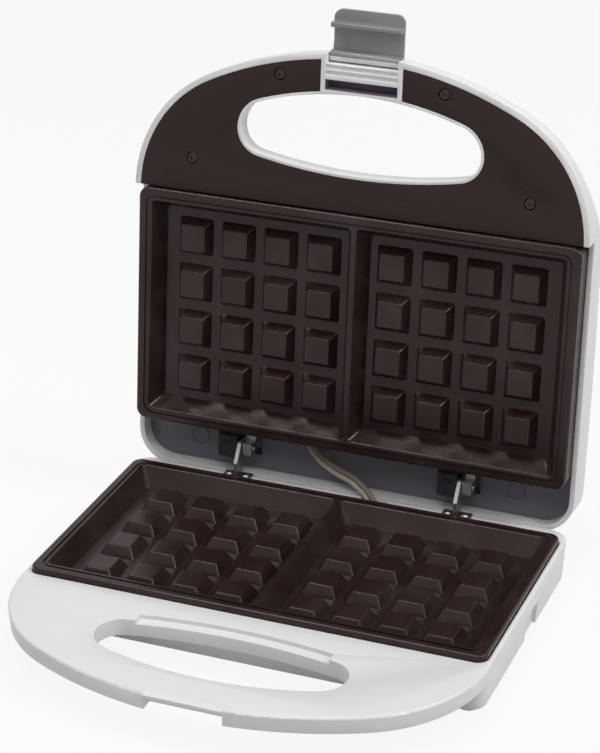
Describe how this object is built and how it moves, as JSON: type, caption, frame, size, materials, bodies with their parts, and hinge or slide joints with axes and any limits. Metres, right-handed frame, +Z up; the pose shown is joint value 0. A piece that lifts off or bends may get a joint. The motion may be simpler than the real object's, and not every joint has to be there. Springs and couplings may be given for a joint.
{
  "type": "waffle cookie maker",
  "caption": "Two-field electric waffle maker standing open: moulded base and hinged lid with D-shaped carry handles, ridged non-stick plates and a swinging latch.",
  "frame": {"origin": "on the table, at the middle of the open object's width and depth, lid standing open", "axes": "+X to the user's right, -Y towards the user and the carry handles, +Z up"},
  "size_m": [0.222, 0.2351, 0.2563],
  "materials": {
    "white_shell": "satin gloss",
    "dark_cover": "fine grain",
    "slate_cover": "satin",
    "non_stick": "glossy non-stick coating",
    "grey_latch": "satin",
    "black_block": "matte",
    "bottom_black": "matte",
    "foot_rubber": "matte",
    "screw_dark": "blackened",
    "screw_zinc": "zinc plated",
    "hinge_steel": "zinc plated",
    "pin_steel": "bright",
    "heater_steel": "heat tinted",
    "reflector_sheet": "bright rolled",
    "fuse_body": "sleeved",
    "thermostat_body": "nickel plated",
    "terminal_plastic": "matte",
    "gland_black": "matte",
    "sleeve_braid": "braided glass fibre",
    "red_lens": "clear tinted",
    "green_lens": "clear tinted",
    "lamp_glass": "clear"
  },
  "bodies": {
    "base": {"base_shell": "white_shell", "base_bottom_cover": "bottom_black", "base_feet": "foot_rubber", "base_cover_screws": "screw_zinc", "lower_plate": "non_stick", "lower_heater": "heater_steel", "lower_heater_clips": "hinge_steel", "lower_reflector": "reflector_sheet", "lower_reflector_screws": "screw_zinc", "thermal_fuse": "fuse_body", "terminal_block": "terminal_plastic", "cord_gland": "gland_black", "hinge_ears": "hinge_steel", "hinge_ear_screws": "screw_zinc", "lead_sleeves": "sleeve_braid"},
    "lid": {"lid_shell": "white_shell", "lid_handle_cover": "dark_cover", "lid_cover_screws": "screw_dark", "lid_rear_cover": "slate_cover", "upper_plate": "non_stick", "upper_heater": "heater_steel", "upper_heater_clips": "hinge_steel", "upper_reflector": "reflector_sheet", "upper_reflector_screws": "screw_zinc", "thermostat": "thermostat_body", "hinge_blocks": "black_block", "hinge_block_screws": "screw_zinc", "hinge_leaves": "hinge_steel", "hinge_pins": "pin_steel", "latch_pin": "pin_steel", "power_lamp_lens": "red_lens", "ready_lamp_lens": "green_lens", "neon_lamps": "lamp_glass"},
    "latch": {"latch_lever": "grey_latch"}
  },
  "joints": [
    {"name": "lid_hinge", "type": "hinge", "parent": "base", "child": "lid", "pos_m": [0, 0.0847, 0.0365], "axis": [1, 0, 0], "range_deg": [0, 95.5], "deforming": ["lead_sleeves"]},
    {"name": "latch_swing", "type": "hinge", "parent": "lid", "child": "latch", "pos_m": [0, 0.10085, 0.23557], "axis": [1, 0, 0], "range_deg": [0, 90]}
  ]
}
